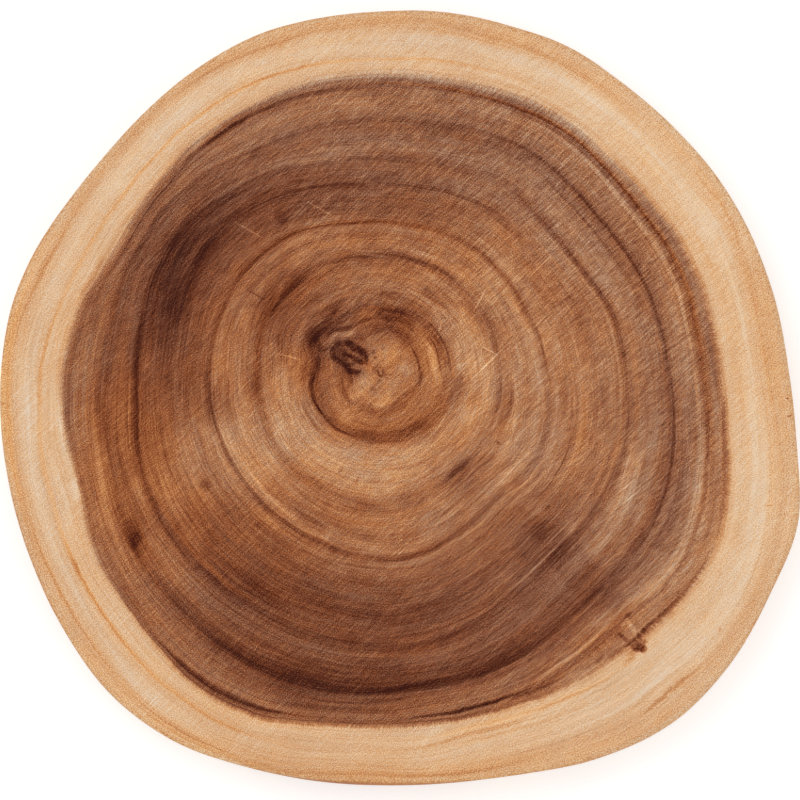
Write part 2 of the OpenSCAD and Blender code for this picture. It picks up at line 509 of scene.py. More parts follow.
# Lightness of the wood, from 0 to 255, from the pith outwards, in millimetres of the lines above
SHADES = [
    (0, 117), (3, 119), (6, 127), (9, 126), (12, 121), (14.5, 112), (15.8, 98), (18, 100), (21, 111),
    (24, 106), (26.5, 97), (28.3, 88), (30, 92), (32, 110), (34, 116), (36.5, 130), (40, 134), (46, 130),
    (49, 122), (51.0, 109), (52.3, 101), (53.6, 105), (55, 109), (58, 121), (62, 121), (65, 116), (68, 125),
    (70.4, 117), (71.8, 96), (73.2, 105), (74.5, 111), (77, 109), (82, 102), (86, 103), (92, 95), (96, 98),
    (100, 104), (102.8, 102), (104.3, 91), (106, 96), (109, 109), (112, 112), (115, 108), (119, 101),
    (121.4, 94), (122.4, 89), (123.6, 98), (125.5, 106), (128, 112), (132, 114), (134.6, 111), (136.2, 98),
    (137.6, 107), (139.6, 122), (141, 146), (142.4, 168), (144, 183), (148, 188), (150, 185), (152, 188),
    # the rows from 165 outwards lie on the rounded rim, which is painted lighter to offset its own shade: painted
    # light
    (155, 192), (159, 189), (162.4, 181), (164, 172), (165.6, 175), (168, 183), (170, 186),
]
# Streaks that follow the lines, each a long lens: its middle and half its width in those millimetres, the bearing
# of its middle and half its run in degrees, and how much lighter or darker it is
STREAKS = [
    # first quarter, from the pith outwards
    (15.5, 0.8, 22, 30, -38), (16.0, 1.6, 2, 12, -14), (20.0, 1.0, 8, 14, -10), (23.5, 2.4, 14, 30, 28),
    (26.3, 0.7, 18, 28, -28), (28.8, 1.4, 22, 26, -10), (31.0, 0.8, 22, 32, -32), (9.0, 3.0, 10, 24, 12),
    (37.5, 0.5, 14, 20, -18), (41.0, 0.5, 42, 14, -18), (35.0, 2.0, 20, 28, 8), (22.6, 1.0, 57, 7, -24),
    (25.5, 6.0, 76, 24, -30), (22.5, 1.6, 84, 12, -18), (24.0, 1.0, 66, 14, -16), (27.6, 0.9, 78, 18, -16),
    (35.0, 2.4, 75, 20, -20), (38.5, 0.9, 64, 10, 18), (36.0, 9.0, 60, 14, -14), (20.0, 2.0, 90, 30, -10),
    (18.0, 2.4, 68, 26, -16), (48.5, 3.0, 33, 12, -18), (53.5, 1.8, 72, 26, -26), (52.6, 1.5, 25, 26, -14),
    (57.5, 1.4, 62, 22, 12), (43.5, 1.0, 10, 20, -8), (46.0, 3.0, 5, 14, 10), (72.8, 1.0, 30, 42, -20),
    (60.0, 16.0, 42, 14, 10), (77.0, 1.6, 40, 24, 14), (92.0, 1.5, 70, 26, -18), (102.6, 0.8, 20, 34, 16),
    (105.2, 1.4, 25, 34, -20), (117.5, 0.7, 40, 42, -14), (122.6, 1.1, 30, 38, -20), (121.0, 6.0, 30, 40, -4),
    (133.5, 1.3, 28, 44, 30), (136.7, 0.8, 45, 54, -28), (140.5, 1.5, 3, 10, -24), (140.6, 2.2, 88, 52, 26),
    # second quarter
    (23.0, 1.4, 115, 24, -32), (30.0, 0.7, 154, 8, -30), (31.0, 3.4, 152, 12, -26), (35.0, 1.2, 127, 28, -14),
    (12.0, 4.0, 121, 8, -14), (37.5, 2.2, 125, 16, 10), (33.5, 3.0, 180, 10, -14), (53.0, 8.0, 145, 24, -12),
    (51.0, 1.4, 142, 17, -26), (51.0, 1.6, 105, 16, -22), (71.4, 1.1, 120, 44, -18), (75.5, 1.2, 135, 46, 8),
    (67.0, 8.0, 190, 10, -10), (91.5, 1.1, 110, 22, -18), (91.0, 2.4, 146, 7, -14), (89.5, 4.4, 143, 3, -8),
    (99.0, 1.5, 153, 9, -24), (102.4, 1.1, 149, 12, -18), (88.0, 4.6, 165, 4.4, -14), (92.5, 2.2, 163, 8, -12),
    (81.5, 5.0, 123, 2.2, -16), (106.0, 2.4, 174, 10, -26), (104.0, 1.4, 137, 28, -12), (121.5, 0.8, 130, 40, -12),
    (105.4, 2.8, 121, 24, 26), (122.6, 2.6, 131, 18, 16), (119.5, 2.5, 186, 16, -14), (79.5, 5.0, 178, 8, 5),
    (129.0, 5.0, 105, 20, 8), (135.5, 1.2, 110, 20, -28), (135.2, 1.5, 123, 8, -34), (134.0, 1.0, 147, 16, -34),
    (133.0, 2.6, 140, 40, -16), (143.0, 1.6, 162, 6, -22), (141.5, 1.2, 45, 24, 8), (141.0, 1.4, 140, 20, 16),
    # third quarter
    (29.2, 0.9, 200, 22, -44), (29.2, 0.8, 228, 26, -34), (31.4, 1.0, 214, 22, 10), (30.0, 1.0, 187, 10, -22),
    (27.5, 2.8, 257, 17, -18), (16.0, 1.3, 182, 4, -30), (18.5, 1.1, 210, 24, -24), (34.5, 0.7, 217, 20, -24),
    (43.5, 2.5, 247, 1.2, -22), (45.5, 2.5, 257, 1, -20), (52.5, 2.6, 190, 16, -12), (65.0, 1.4, 243, 10, -26),
    (67.5, 2.6, 244, 6, -12), (68.0, 1.3, 228, 18, 14), (71.5, 1.1, 225, 48, -22), (75.0, 1.3, 232, 11, 10),
    (81.0, 8.0, 226, 22, -10), (84.5, 2.8, 212.5, 2.2, -20), (98.5, 4.2, 237, 16, -18), (104.5, 1.6, 190, 16, -28),
    (108.0, 0.9, 190, 13, 14), (111.5, 0.8, 215, 13, 12), (111.5, 0.8, 250, 13, 12), (119.6, 4.4, 212.4, 3.4, -24),
    (122.2, 2.0, 215.4, 2.6, -18), (121.0, 4.8, 214, 2.2, -16), (121.2, 3.4, 262, 34, -16), (125.5, 1.7, 195, 13, 14),
    (129.0, 3.0, 255, 18, -10), (132.2, 1.5, 266, 26, -18), (135.7, 1.9, 243, 14, -50), (131.5, 0.8, 225, 6, 12),
    (139.5, 2.6, 214, 9, 8), (140.6, 2.2, 224.5, 3.4, -20), (142.5, 2.6, 201, 2.4, 20), (139.5, 2.6, 250, 34, -19), (141.4, 2.2, 262, 42, -46),
    # fourth quarter
    (15.6, 0.8, 312, 34, -14), (16.5, 1.0, 350, 14, -34), (12.8, 2.4, 290, 38, 12), (27.0, 2.4, 295, 32, -22),
    (33.0, 1.6, 320, 14, 16), (36.0, 3.6, 295, 16, 12), (34.0, 4.6, 345, 20, -20), (52.6, 2.2, 309, 8, -32),
    (51.0, 1.2, 305.5, 5, -18), (54.2, 1.2, 313, 7, -20), (56.0, 1.3, 308, 12, -16), (58.6, 1.4, 322, 18, -14),
    (58.0, 1.1, 329, 0.9, -34), (53.0, 1.3, 349, 10, -22), (72.5, 1.1, 280, 16, -20), (74.5, 0.9, 300, 42, 10),
    (78.0, 0.8, 322, 12, 16), (83.0, 0.5, 327, 16, -18), (89.0, 1.1, 321, 0.9, -26), (112.0, 36.0, 315, 5.0, -13),
    (97.0, 12.0, 313, 9, -14), (92.0, 2.0, 319, 7, -12), (103.2, 0.7, 317, 42, 24), (105.8, 1.4, 317, 46, -16),
    (110.0, 5.0, 335, 10, 12), (113.0, 1.8, 318, 20, 12), (121.8, 2.6, 286, 24, -12), (133.6, 3.0, 268, 28, 3), (122.8, 1.4, 312, 6, -24),
    (123.0, 1.2, 344, 20, -26), (127.5, 2.6, 308, 12, -18), (128.0, 2.2, 336, 14, -14), (132.2, 1.1, 281, 12, 20),
    (135.0, 2.1, 334, 34, 30), (134.8, 1.2, 303, 10, 26), (133.4, 0.9, 320, 10, 18), (136.9, 1.6, 284, 12, -44),
    (138.4, 1.4, 296, 6, -30), (137.2, 0.6, 325, 38, -20), (138.8, 0.9, 334, 32, 10), (140.9, 0.7, 320, 14, -40),
    (141.3, 0.9, 346, 14, -42), (142.6, 1.1, 345, 20, -22), (143.4, 2.0, 313, 2.4, -34),
    # sapwood: the two lines that run round it, and the paler bands between them
    (150.0, 0.8, 82, 16, -8), (150.0, 0.9, 108, 10, -26), (150.0, 0.7, 124, 22, -16), (150.0, 0.9, 150, 18, -12),
    (150.0, 0.9, 178, 14, -22), (150.0, 1.2, 198, 12, -8), (150.0, 0.7, 220, 15, -24), (150.4, 1.8, 212.5, 2.0, -20),
    (150.0, 0.9, 242, 14, -18), (150.0, 1.0, 284, 12, -24), (147.4, 1.0, 300, 10, -22), (153.0, 1.0, 292, 14, -8),
    (164.0, 0.7, 25, 9, -14), (163.6, 1.3, 68, 18, -8), (164.0, 0.6, 112, 18, -18), (164.0, 1.0, 134, 8, -10),
    (164.0, 0.7, 165, 16, -20), (164.0, 0.6, 216, 16, -24), (164.0, 0.6, 241, 12, -22), (164.0, 0.9, 281, 14, -16),
    (164.0, 0.7, 312, 6, -30), (161.0, 0.9, 292, 14, -10), (161.5, 0.8, 75, 16, -8), (160.6, 0.7, 345, 22, -8),
    (156.6, 1.3, 8, 20, 10), (158.2, 2.6, 52, 44, 8), (157.5, 4.5, 138, 36, 8), (157.0, 4.0, 198, 24, 7),
    (158.5, 3.5, 236, 15, 7), (158.5, 1.8, 330, 34, 9), (154.5, 1.8, 345, 24, 7), (160.0, 8.0, 262, 32, -13), (151.0, 7.0, 250, 26, -7),
    # the row at 170 and bearing 265 is painted shade on the front rim and wall
    (156.0, 11.0, 42, 30, 8), (147.0, 1.2, 200, 10, 8), (146.6, 1.6, 60, 34, 6), (167.0, 2.4, 184, 20, -8), (170.0, 3.0, 265, 22, -34), (158.0, 16.0, 334, 34, 7), (167.0, 7.0, 98, 34, -5), (166.0, 6.0, 34, 22, 10),
    # smaller patches in each quarter, where a stretch of a ring is lighter or darker
    (140.8, 2.4, 48, 8, 20), (31.0, 1.2, 235, 20, 10), (10.0, 3.0, 12, 20, 8), (42.0, 3.0, 55, 12, -12),
    (117.0, 3.0, 92, 5, -10), (133.0, 2.0, 92, 14, -12), (50.0, 4.0, 105, 14, -8), (123.6, 2.6, 127, 16, 16),
    (58.0, 3.0, 141, 14, -10), (140.2, 2.5, 153, 7, 14), (70.0, 10.0, 195, 7, -14), (124.0, 5.0, 200, 8, 12),
    (110.0, 10.0, 211, 6, -12), (14.0, 2.0, 265, 18, 14), (37.0, 5.0, 291, 16, 10), (72.6, 1.1, 292, 14, -12),
    (100.0, 4.0, 307, 6, -10), (137.6, 2.4, 328, 14, 18), (80.0, 6.0, 335, 12, 10), (56.0, 3.0, 345, 14, -10),
    (131.0, 0.5, 40, 40, 10), (80.0, 62.0, 2, 52, 8),
    (120.2, 3.4, 248, 34, -11), (31.0, 3.4, 70, 14, -16), (40.0, 9.0, 351, 15, -18), (16.0, 5.0, 51, 10, -10),
    (43.0, 7.0, 155, 22, -14), (62.0, 7.0, 142, 16, -16), (52.0, 8.0, 182, 10, -10), (104.0, 3.0, 206, 8, -10),
    (140.6, 1.8, 290, 16, -22), (130.0, 2.5, 168, 9, -14), (134.6, 2.0, 130, 10, -12), (32.2, 2.4, 322, 12, -14),
    (136.4, 3.0, 332, 22, 16), (108.0, 4.0, 106, 18, 13), (97.0, 4.0, 133, 9, 16), (138.6, 2.4, 155, 6, 20),
    (22.0, 3.0, 112, 10, 7), (122.0, 3.5, 108, 12, 14), (73.0, 3.0, 340, 6, 12), (101.0, 3.0, 320, 12, 10),
    (100.0, 44.0, 46, 24, 9), (90.0, 44.0, 255, 40, -5), (80.0, 60.0, 130, 40, -3),
    (82.0, 4.0, 338, 12, -16), (63.0, 4.0, 350, 14, -12), (12.0, 3.0, 305, 22, -12), (101.5, 2.5, 214, 6, -14),
    (130.0, 3.0, 145, 10, -12), (48.0, 3.0, 112, 8, -10), (32.0, 3.0, 105, 8, -10), (92.0, 4.0, 52, 8, -8),
    (108.0, 3.0, 207, 5, 14), (119.0, 3.0, 8, 14, 10), (134.0, 2.0, 70, 8, 12), (102.0, 2.0, 190, 10, 10),
    (141.6, 2.4, 194, 10, 20), (140.0, 2.4, 256, 8, 14), (139.0, 1.6, 40, 14, 12), (24.0, 2.6, 230, 10, 10),
    (50.0, 3.0, 210, 12, 8), (106.0, 3.0, 104, 10, 8), (136.4, 1.2, 284, 12, -18), (137.4, 1.4, 243, 12, -22), (70.0, 3.4, 346, 16, -16), (78.0, 3.0, 354, 12, -10),
    (57.4, 1.6, 344, 16, -18), (46.0, 4.0, 4, 12, -16), (43.0, 5.0, 54, 12, -14), (47.5, 1.6, 58, 10, -8), (86.0, 6.0, 30, 14, -8), (37.5, 1.6, 44, 6, -14), (36.0, 1.4, 66, 12, 10), (57.0, 3.0, 78, 14, 10),
    (86.0, 5.0, 42, 12, -8), (97.0, 8.0, 352, 8, -10), (120.0, 5.0, 212, 4.5, -8), (105.6, 2.2, 222, 24, -16), (119.0, 3.0, 228, 8, -12), (30.0, 3.0, 178, 10, -12), (104.6, 2.6, 32, 32, -9),
    (10.0, 3.0, 128, 8, -12), (131.5, 3.0, 142, 14, -10), (137.6, 1.6, 266, 10, -12), (131.0, 2.0, 262, 12, -10), (138.6, 2.0, 50, 10, 16), (137.6, 2.0, 130, 6, 16),
    (136.0, 2.6, 154, 6, 14), (128.0, 5.0, 4, 16, 8), (90.0, 3.0, 272, 14, 8), (14.6, 1.8, 266, 12, 12), (12.0, 3.0, 302, 20, -3), (3.0, 4.0, 200, 200, 5),
    (60.0, 9.0, 216, 16, 6), (55.0, 1.6, 230, 28, 8), (79.0, 4.0, 174, 8, -10), (30.0, 2.6, 183, 8, -12),
    (101.0, 3.0, 190, 12, -6), (138.5, 3.0, 198, 10, 14), (127.0, 3.0, 207, 8, 10), (111.0, 2.5, 86, 6, 12),
    (95.0, 5.0, 90, 7, -10), (41.5, 3.0, 135, 10, -12), (50.0, 1.2, 138, 20, -12), (33.0, 3.0, 136, 8, 12),
    (20.0, 3.0, 122, 8, -8), (12.0, 2.0, 182, 8, -14), (15.0, 2.0, 160, 6, 14), (34.0, 3.0, 118, 14, 8), (34.0, 3.0, 208, 14, 8),
    (134.8, 1.2, 50, 14, -16), (132.2, 1.6, 66, 12, 9), (131.0, 3.0, 8, 14, 9), (45.0, 2.0, 50, 12, -8),
    (33.0, 3.0, 90, 12, -7), (57.5, 1.4, 350, 14, -14), (73.5, 2.0, 345, 12, -9), (105.0, 6.0, 313, 9, -6),
    (119.0, 5.0, 215, 3, -14), (142.6, 1.8, 291, 7, -14), (145.0, 1.4, 311, 1.6, -20), (127.0, 2.0, 147, 6, -10),
    (126.0, 2.4, 262, 16, -12), (131.8, 2.0, 290, 12, -10), (138.5, 2.0, 127, 5, 16), (142.0, 2.0, 187, 5, 12),
    (31.0, 3.0, 215, 22, 8), (57.0, 2.0, 285, 16, 9), (16.0, 2.0, 214, 12, 8), (132.0, 2.0, 312, 3, 16),
    (118.0, 3.0, 116, 4, 12), (94.0, 2.0, 148, 10, 10), (86.0, 3.0, 99, 3, 10), (132.0, 2.6, 166, 9, -8),
    # broad patches, darker where the trunk took up more colour and lighter where it took up less
    (40.0, 22.0, 144, 46, -30), (18.0, 12.0, 84, 50, -20), (42.0, 12.0, 90, 34, -16), (96.0, 38.0, 148, 56, -22),
    (97.0, 15.0, 150, 28, -24), (66.0, 20.0, 80, 40, -8), (84.0, 12.0, 95, 40, -10), (110.0, 12.0, 192, 20, -12),
    (76.0, 12.0, 185, 12, -12), (68.0, 30.0, 208, 20, 20), (96.0, 20.0, 205, 12, 12), (42.0, 15.0, 240, 56, 20),
    (20.0, 7.0, 226, 44, 14), (12.0, 4.0, 285, 60, 10), (33.0, 3.0, 275, 50, 12), (102.0, 26.0, 262, 50, -18),
    (122.0, 14.0, 264, 46, -20), (116.0, 12.0, 300, 20, -14), (62.0, 50.0, 345, 36, 10), (112.0, 10.0, 334, 18, 14),
    (90.0, 20.0, 345, 26, 8), (92.0, 34.0, 22, 40, 12), (44.0, 12.0, 14, 34, 10), (22.0, 14.0, 6, 30, 14),
    (60.0, 6.0, 312, 14, -14),
]
# Where the wood is redder, above 0, or greyer, below 0: the same kind of lenses
TINTS = [
    (112.0, 38.0, 85, 100, -0.7), (116.0, 14.0, 72, 52, -0.4), (125.0, 16.0, 335, 40, -0.7),
    (95.0, 40.0, 350, 50, -0.3), (139.4, 1.9, 52, 74, -1.3), (139.2, 1.8, 122, 30, -1.0),
    (97.0, 14.0, 150, 24, -0.6), (112.0, 12.0, 300, 26, -0.7), (26.0, 5.0, 275, 80, 0.7),
    (112.0, 34.0, 203, 26, 1.5), (120.0, 6.0, 214, 7, 1.3), (88.0, 20.0, 232, 24, 1.1), (104.0, 12.0, 196, 10, 0.8),
    (20.0, 16.0, 270, 120, 1.4), (3.0, 6.5, 180, 400, 1.1), (22.0, 11.0, 30, 52, 1.6), (23.0, 9.0, 92, 36, 1.4),
    (58.0, 28.0, 150, 56, 0.9), (60.0, 24.0, 245, 50, 0.8), (42.0, 10.0, 320, 64, 1.0), (36.0, 8.0, 174, 18, 1.6),
    (71.8, 1.8, 108, 60, 1.3), (52.4, 2.0, 165, 60, 0.8), (30.0, 1.6, 215, 50, 0.9), (137.0, 0.9, 45, 60, 1.9), (102.4, 1.4, 222, 26, 1.5), (98.0, 18.0, 220, 22, 0.3),
    (137.0, 3.0, 320, 50, 0.6), (8.0, 4.0, 155, 22, 1.4), (155.0, 12.0, 10, 70, 0.4), (167.0, 3.4, 183, 22, 1.2), (168.0, 5.0, 256, 40, 0.4), (10.0, 10.0, 42, 34, 1.0), (30.0, 9.0, 180, 24, 0.5),
    (50.0, 60.0, 36, 70, 0.3), (92.0, 24.0, 4, 56, 0.55), (126.0, 12.0, 94, 18, 0.5), (108.0, 34.0, 194, 20, 0.55), (60.0, 30.0, 92, 40, 0.25), (80.0, 60.0, 186, 20, 0.3), (42.0, 45.0, 60, 64, 0.3),
    (165.0, 6.0, 25, 40, 0.2), (150.0, 1.4, 120, 60, 0.8), (150.0, 1.4, 205, 60, 0.8), (147.0, 2.0, 294, 20, 0.8),
]
# Marks that don't follow the lines: the place of each from the pith and half its length and width in millimetres,
# its direction in degrees, and how much lighter or darker it is
KNOT_MARKS = [
    (-21.0, 8.2, 4.8, 1.7, 100, -36), (-19.4, 11.4, 3.8, 1.6, 45, -30), (-16.0, 12.4, 4.8, 1.7, 5, -34),
    (-11.5, 10.6, 6.4, 2.4, -32, -44), (-8.0, 8.0, 4.4, 2.2, -55, -46), (-6.7, 5.4, 2.6, 1.2, -85, -32),
    (-17.4, 8.0, 4.8, 3.8, -60, -32), (-18.2, 4.6, 4.8, 1.5, -42, -38), (-14.8, 2.4, 3.2, 1.7, -50, -46),
    (-12.4, 0.4, 4.2, 1.7, -5, -36), (-10.0, 0.6, 2.3, 0.9, 20, -26), (-10.8, 5.6, 5.4, 1.7, -27, -44),
    (-9.2, 4.4, 2.0, 1.4, -10, -28), (-12.3, 4.5, 1.5, 1.1, 90, -30), (-14.9, 7.2, 2.7, 0.8, -10, -26),
    (-12.6, 3.2, 2.6, 0.8, -25, -16), (-13.6, 6.1, 10.6, 9.0, -23, -24), (-13.4, 8.8, 4.6, 1.4, -38, 8),
    (-13.2, 5.6, 2.2, 1.2, -30, 14), (-11.0, 2.2, 3.4, 1.0, 15, 8),
    # the dark timber that turns round the branch's root, and the pale swirl beside it
    (-27.5, 12.5, 4.6, 2.0, -60, -30), (-26.2, 17.0, 4.6, 1.5, 42, -28), (-31.0, 17.0, 4.0, 2.2, 60, -16),
    (-22.5, 23.5, 6.0, 1.6, 42, -22), (-21.5, 27.0, 7.0, 2.8, 40, -10), (-24.5, 9.6, 4.0, 1.1, 20, -28),
    (-27.3, 4.0, 1.3, 5.0, 0, -24), (-21.5, 14.8, 6.0, 1.8, 38, 18), (-16.0, 16.4, 6.0, 1.4, 10, 14),
    (-19.0, 13.6, 3.6, 0.8, 30, -24), (-16.5, 18.6, 4.8, 1.4, 18, -32), (-12.0, 14.4, 5.4, 1.0, -4, -18),
    (-21.0, 17.6, 4.4, 1.3, 30, -20), (-18.5, -3.0, 2.2, 9.0, 10, -16), (-12.0, -2.6, 3.4, 2.8, 20, -16),
]
MARKS = [
    # the pith and the specks round it
    (-1.65, 0.0, 0.7, 1.9, 8, -44), (0.45, 0.2, 0.6, 1.7, -8, -36), (-0.6, -1.4, 1.5, 0.7, -10, -44),
    (-0.5, 1.9, 1.3, 0.7, 10, -18), (2.6, -0.9, 2.1, 0.7, 5, -22), (1.9, -2.2, 1.7, 0.7, -40, -26),
    (-3.8, 8.9, 1.1, 1.1, 0, -34), (-2.9, 6.3, 1.1, 1.0, 0, -40), (-3.1, 1.3, 1.8, 2.1, 30, -22),
    (-1.2, 2.8, 1.4, 1.2, 0, -18), (-2.2, -4.4, 3.2, 1.5, 30, -18), (-4.0, -7.0, 1.9, 1.2, 10, -28),
    (0.4, 10.2, 1.1, 0.7, 20, -24), (2.5, 11.0, 6.0, 3.4, 10, 14), (-9.5, -6.0, 8.0, 4.6, 40, 18),
    (-10.0, -9.6, 3.6, 2.2, 20, 14), (2.0, 7.5, 6.6, 4.0, 30, 8),
    # the dark tongue that runs out into the pale wood
    (105.8, -107.6, 6.5, 1.5, -56, 32), (103.7, -113.7, 6.0, 1.2, -44, -34), (109.6, -116.6, 2.8, 2.0, -45, -46), (108.2, -117.8, 3.0, 1.1, -15, -64), (111.2, -117.6, 2.2, 1.8, 60, -74), (111.3, -114.6, 2.1, 0.9, 80, -34),
    (109.2, -112.0, 3.0, 1.1, -55, -44), (111.0, -109.5, 1.7, 1.7, 0, -38), (113.5, -106.6, 4.2, 1.2, 40, -30),
    (103.8, -116.0, 2.1, 0.7, 15, -28), (100.5, -111.6, 3.0, 2.2, 60, -24), (104.3, -103.0, 2.2, 1.3, 40, -34),
    (102.5, -106.8, 2.1, 1.1, 40, 36), (108.0, -115.0, 3.2, 3.0, -45, -34), (119.0, -102.3, 3.6, 1.3, 45, -26),
    (98.0, -119.4, 6.0, 1.3, 38, -28), (92.5, -122.3, 3.4, 1.2, 40, -28), (104.5, -123.3, 4.2, 1.2, 45, -14),
    # long scratches
    (44.6, 3.6, 12.0, 0.42, 45, 48), (41.6, 30.8, 6.2, 0.42, 60, 48), (25.5, -20.6, 4.6, 0.42, 60, 42),
    (-38.9, 6.6, 6.6, 0.42, -15, 42), (46.0, 9.2, 5.6, 0.4, -30, 34), (24.4, 18.1, 5.8, 0.4, 75, 34),
    (-57.0, 60.8, 9.4, 0.4, -30, 39), (-26.3, 69.5, 8.0, 0.4, -30, 34), (-10.2, 82.9, 5.2, 0.4, 15, 31),
    (106.5, -52.3, 8.5, 0.42, 40, 34), (103.4, -48.6, 5.5, 0.4, 38, 28), (68.0, 46.0, 10.5, 0.42, 45, 45), (-22.0, 75.0, 6.0, 0.4, 45, 36),
    # a crack along a ray, and nicks in the rim
    (-53.5, 33.0, 5.5, 0.7, 150, -26), (172.2, -11.0, 1.1, 0.5, 0, -60), (173.0, -18.6, 1.2, 0.5, 0, -60),
    (163.8, -56.5, 3.2, 0.35, 0, -30), (143.4, -109.2, 0.5, 1.2, 0, -40),
]
LIGHTNESS = [
    (24, (56, 25, 14)), (46, (84, 40, 25)), (58, (99, 51, 33)), (70, (113, 62, 41)), (82, (127, 73, 49)),
    (94, (140, 84, 57)), (106, (153, 96, 66)), (118, (166, 108, 75)), (130, (177, 120, 84)),
    (142, (188, 132, 94)), (154, (199, 146, 103)), (166, (210, 159, 114)), (178, (217, 172, 130)),
    (190, (224, 185, 146)), (202, (231, 197, 161)), (225, (242, 217, 188)),
]


SHEEN = 0.005  # what the oiled surface adds to every colour, in the shader's own values


def linear(colour):
    """A colour of 0 to 255 values as the shader's own values."""
    out = []
    for value in colour:
        c = value / 255
        out.append(c / 12.92 if c < 0.04045 else ((c + 0.055) / 1.055) ** 2.4)
    return (*out, 1)


class Nodes:
    """Short ways to add and link shader nodes."""

    def __init__(self, tree):
        self.tree = tree

    def add(self, kind, **settings):
        node = self.tree.nodes.new(kind)
        for key, value in settings.items():
            setattr(node, key, value)
        return node

    def put(self, socket, value):
        if value is None:
            return
        if isinstance(value, bpy.types.NodeSocket):
            self.tree.links.new(value, socket)
        else:
            socket.default_value = value

    def math(self, operation, a, b=None, c=None, clamp=False):
        node = self.add("ShaderNodeMath", operation=operation, use_clamp=clamp)
        for socket, value in zip(node.inputs, (a, b, c)):
            self.put(socket, value)
        return node.outputs[0]

    def vector(self, operation, a, b=None, c=None, scale=None):
        node = self.add("ShaderNodeVectorMath", operation=operation)
        for socket, value in zip(node.inputs, (a, b, c)):
            self.put(socket, value)
        if scale is not None:
            self.put(node.inputs["Scale"], scale)
        return node.outputs["Value" if operation in ("LENGTH", "DOT_PRODUCT", "DISTANCE") else "Vector"]

    def plane(self, xs, ys, x_share, y_share, rest):
        """xs times x_share plus ys times y_share plus rest, for three pairs at once."""
        total = tuple(float(v) for v in rest)
        for values, share in ((ys, y_share), (xs, x_share)):
            if np.any(share):
                total = self.vector("MULTIPLY_ADD", values, tuple(float(v) for v in share), total)
        return total

    def remap(self, value, low, high, to_low=0.0, to_high=1.0, kind="LINEAR", clamp=True):
        node = self.add("ShaderNodeMapRange", interpolation_type=kind)
        if kind == "LINEAR":
            node.clamp = clamp
        for socket, given in zip(node.inputs, (value, low, high, to_low, to_high)):
            self.put(socket, given)
        return node.outputs[0]

    def combine(self, x, y, z):
        node = self.add("ShaderNodeCombineXYZ")
        for socket, value in zip(node.inputs, (x, y, z)):
            self.put(socket, value)
        return node.outputs[0]

    def split(self, vector):
        node = self.add("ShaderNodeSeparateXYZ")
        self.put(node.inputs[0], vector)
        return node.outputs

    def noise(self, vector, scale, detail=2.0, roughness=0.5, want="Fac", w=None):
        node = self.add("ShaderNodeTexNoise", noise_dimensions="3D" if w is None else "4D")
        self.put(node.inputs["Vector"], vector)
        if w is not None:
            self.put(node.inputs["W"], w)
        node.inputs["Scale"].default_value = scale
        node.inputs["Detail"].default_value = detail
        node.inputs["Roughness"].default_value = roughness
        return node.outputs[want]

    def noise_vector(self, vector, scale, detail=2.0):
        """Noise from -0.5 to 0.5 in each direction."""
        return self.vector("SUBTRACT", self.noise(vector, scale, detail, 0.5, "Color"), (0.5, 0.5, 0.5))

    def turned(self, vector, degrees, size, middle=(0, 0, 0)):
        """Places about middle, along and across a direction, in units of size."""
        node = self.add("ShaderNodeMapping", vector_type="TEXTURE")
        self.put(node.inputs["Vector"], vector)
        node.inputs["Location"].default_value = middle
        node.inputs["Rotation"].default_value = (0, 0, math.radians(degrees))
        node.inputs["Scale"].default_value = size
        return node.outputs[0]

    def curve(self, value, points, reach, top):
        """A smooth curve through points, given over 0 to reach, with heights from 0 to top."""
        node = self.add("ShaderNodeFloatCurve")
        self.put(node.inputs["Value"], self.math("DIVIDE", value, reach))
        line = node.mapping.curves[0]
        spots = [(x / reach, y / top) for x, y in points]
        line.points[0].location, line.points[-1].location = spots[0], spots[-1]
        for x, y in spots[1:-1]:
            line.points.new(x, y)
        node.mapping.update()
        return self.math("MULTIPLY", node.outputs[0], top)


SEAM = 20  # degrees that each bearing curve runs on past the full turn, so that it meets itself smoothly


def growth_coordinate(n, distance, bearing):
    """How far out a point lies, in millimetres of the named growth lines."""
    past = n.math("ADD", bearing, SEAM)
    inner, name, total = 0.0, 0, None
    for line, points in GROWTH_LINES.items():
        b, d = np.array(points, float).T
        at = sorted(set([-SEAM, 360 + SEAM, *[x for s in (-360, 0, 360) for x in b + s if -SEAM < x < 360 + SEAM]]))
        spots = [(x + SEAM, float(smooth_round(b, d, np.array([x % 360.0]))[0])) for x in at]
        outer = n.curve(past, spots, 360 + 2 * SEAM, 200)
        share = n.remap(distance, inner, outer, 0.0, line - name)
        total = share if total is None else n.math("ADD", total, share)
        inner, name = outer, line
    return total


def spots(n, x, y, rows):
    """The sum of soft lenses in a plane, three at a time, one in each part of a vector.

    Each row has a middle, half the length and width, a direction in degrees and a height.
    """
    xs, ys = n.combine(x, x, x), n.combine(y, y, y)
    rows = rows + [(0, 0, 1, 1, 0, 0)] * (-len(rows) % 3)
    total = 0.0
    for k in range(0, len(rows), 3):
        at_x, at_y, long, wide, turn, amount = np.array(rows[k : k + 3], float).T
        c, s = np.cos(np.radians(turn)), np.sin(np.radians(turn))
        ahead = n.plane(xs, ys, c / long, s / long, -(c * at_x + s * at_y) / long)
        aside = n.plane(xs, ys, -s / wide, c / wide, (s * at_x - c * at_y) / wide)
        reach = n.vector("MULTIPLY_ADD", aside, aside, n.vector("MULTIPLY", ahead, ahead))
        lens = n.add("ShaderNodeMapRange", data_type="FLOAT_VECTOR", interpolation_type="SMOOTHSTEP")
        given = (reach, (1, 1, 1), (0.1, 0.1, 0.1), (0, 0, 0), tuple(amount))
        for socket, value in zip([i for i in lens.inputs if i.type == "VECTOR"], given):
            n.put(socket, value)
        total = n.math("ADD", n.vector("DOT_PRODUCT", lens.outputs["Vector"], (1, 1, 1)), total)
    return total


